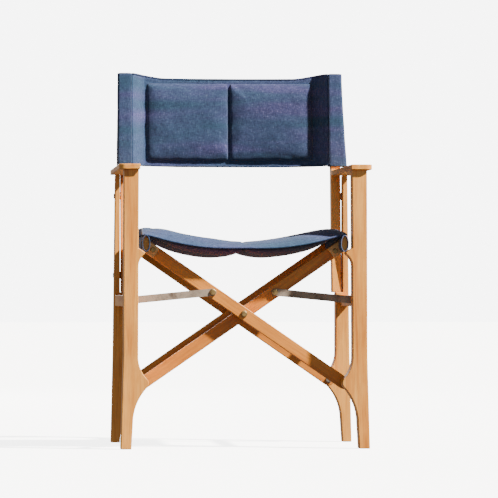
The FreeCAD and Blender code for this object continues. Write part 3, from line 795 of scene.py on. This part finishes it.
# end sleeves of the seat, round the rails, open where the legs reach them;
# they stand a little past the rails at the front
SYF = 5.0
QX, QZ = 228.2271, 470.3463
for side, s in (("left", -1), ("right", 1)):
    yf = 48.0 if s < 0 else 73.0
    notch = [(yf - 13.0, yf + 19.0), (444.0 - yf - 19.0, 444.0 - yf + 13.0)]
    na, ny = 56, 130
    V, F = [], []
    ys = [SYF + (SY1 - SYF) * j / ny for j in range(ny + 1)]
    for j, y in enumerate(ys):
        for i in range(na):
            a = 2 * math.pi * i / na
            w = 0.5 * nz(math.cos(a) * 1.2 + 4 * s, math.sin(a) * 1.2, y * 0.02) + 0.25 * nz(math.cos(a) * 3, math.sin(a) * 3, y * 0.08)
            flare = 0.5 * math.exp(-(y - SYF) / 6.0)
            V.append(W(s * QX + (8.35 + w + flare) * math.cos(a), y, QZ + (18.4 + w + flare) * math.sin(a)))
    for j in range(ny):
        ymid = (ys[j] + ys[j + 1]) / 2
        for i in range(na):
            a = 2 * math.pi * (i + 0.5) / na
            inside = any(lo < ymid < hi for lo, hi in notch) and (math.sin(a) < 0.52)
            if inside:
                continue
            k = (i + 1) % na
            F.append((j * na + i, j * na + k, (j + 1) * na + k, (j + 1) * na + i))
    used = sorted({v for f in F for v in f})
    remap = {v: k for k, v in enumerate(used)}
    o = mesh_obj("seat_sleeve_cloth_" + side, [V[v] for v in used], [tuple(remap[v] for v in f) for f in F], CLOTH_YZ)
    m = o.modifiers.new("thick", "SOLIDIFY"); m.thickness = 0.0014; m.offset = -1.0
    bpy.context.view_layer.update()
    apply_mods(o)
    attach(o, side + "_rail_legs")
    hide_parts("seat_sleeve_" + side)
    hem = []
    for i in range(49):
        a = 2 * math.pi * i / 48
        w = 0.5 * nz(math.cos(a) * 1.2 + 4 * s, math.sin(a) * 1.2, SYF * 0.02)
        hem.append(W(s * QX + (8.3 + w) * math.cos(a), SYF + 0.4, QZ + (18.3 + w) * math.sin(a)))
    h = tube_along("seat_sleeve_hem_" + side, hem, 0.0009 if s < 0 else 0.0011, CLOTH_YZ if s < 0 else RIM)
    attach(h, side + "_rail_legs")

# -------------------------------------------------------------------- stage
AMBIENT, SUN, FRONT = 0.24, 15.5, 7.0
FLOOR = bpy.data.meshes.new("floor")
FLOOR.from_pydata([(-40, -40, 0), (40, -40, 0), (40, 40, 0), (-40, 40, 0)], [], [(0, 1, 2, 3)])
floor = bpy.data.objects.new("floor", FLOOR)
bpy.context.scene.collection.objects.link(floor)
fm, fnt, fb = mat("floor_pale")
fb.inputs["Base Color"].default_value = (0.93, 0.925, 0.92, 1)
fb.inputs["Roughness"].default_value = 0.95
fb.inputs["Specular IOR Level"].default_value = 0.1
fb.inputs["Emission Color"].default_value = (1, 1, 1, 1)
fb.inputs["Emission Strength"].default_value = 4.6
FLOOR.materials.append(fm)
# the floor is seen but gives the chair no bounce light
floor.visible_diffuse = floor.visible_glossy = floor.visible_transmission = False
floor.location.z = -0.0005

# pale studio: the backdrop is brighter than the light it gives
world = bpy.data.worlds.new("studio")
bpy.context.scene.world = world
world.use_nodes = True
wt = world.node_tree
bg = wt.nodes.get("Background")
bg.inputs["Color"].default_value = (1.0, 1.0, 1.0, 1)
lp = wt.nodes.new("ShaderNodeLightPath")
st_ = wt.nodes.new("ShaderNodeMapRange")
st_.inputs["To Min"].default_value = AMBIENT
st_.inputs["To Max"].default_value = 7.0
wt.links.new(lp.outputs["Is Camera Ray"], st_.inputs["Value"])
wt.links.new(st_.outputs[0], bg.inputs["Strength"])


def area(name, loc, target, size, power, color=(1, 1, 1)):
    l = bpy.data.lights.new(name, "AREA")
    l.shape = "RECTANGLE"
    l.size, l.size_y = size
    l.energy = power
    l.color = color
    o = bpy.data.objects.new(name, l)
    o.location = loc
    d = Vector(target) - Vector(loc)
    o.rotation_euler = d.to_track_quat("-Z", "Y").to_euler()
    bpy.context.scene.collection.objects.link(o)
    return o


sun = bpy.data.lights.new("key", "SUN")
sun.energy = SUN
sun.angle = math.radians(2.2)
sun.color = (1.0, 0.955, 0.88)
so = bpy.data.objects.new("key", sun)
so.rotation_euler = (-Vector((0.624, -0.304, 0.719))).to_track_quat("-Z", "Y").to_euler()
so.location = (2.8, -1.4, 3.7)
bpy.context.scene.collection.objects.link(so)
area("front", (0.6, -4.6, 1.3), (0, 0, 0.5), (2.4, 1.6), FRONT, (0.97, 0.98, 1.0))
area("rear", (-1.8, 4.4, 2.2), (0, 0.1, 0.6), (2.0, 1.6), 110.0, (1.0, 0.98, 0.95))

cam = bpy.data.cameras.new("camera")
cam.sensor_width = 36.0
cam.lens = 3680.0 / 498.0 * 36.0
cam.clip_end = 80
co = bpy.data.objects.new("camera", cam)
bpy.context.scene.collection.objects.link(co)
co.location = (-0.718, -8.390 - Y0 / 1000.0, 0.351)
yaw = math.atan2(318.0, 3680.0)
co.rotation_euler = (math.radians(90.7255), 0, -yaw)
bpy.context.scene.camera = co
